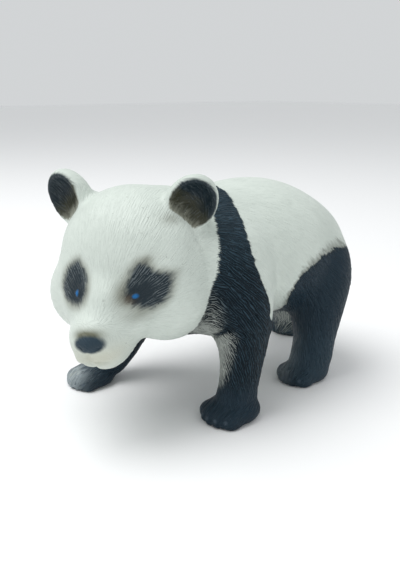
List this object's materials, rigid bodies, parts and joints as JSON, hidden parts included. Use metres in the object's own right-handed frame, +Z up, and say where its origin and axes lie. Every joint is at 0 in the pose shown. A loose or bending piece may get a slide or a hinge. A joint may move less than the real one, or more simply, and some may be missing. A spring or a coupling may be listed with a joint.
{
  "type": "panda figurine",
  "caption": "Painted plastic figurine of a walking panda with its head low and turned to its left, standing on four flat soles.",
  "frame": {"origin": "middle of the footprint's box, on the plane of the soles", "axes": "the panda faces -Y, +X is towards its left side, +Z is up"},
  "size_m": [0.0634, 0.1246, 0.0732],
  "materials": {
    "panda": "painted, satin"
  },
  "bodies": {
    "root": {"panda": "panda"}
  },
  "joints": []
}
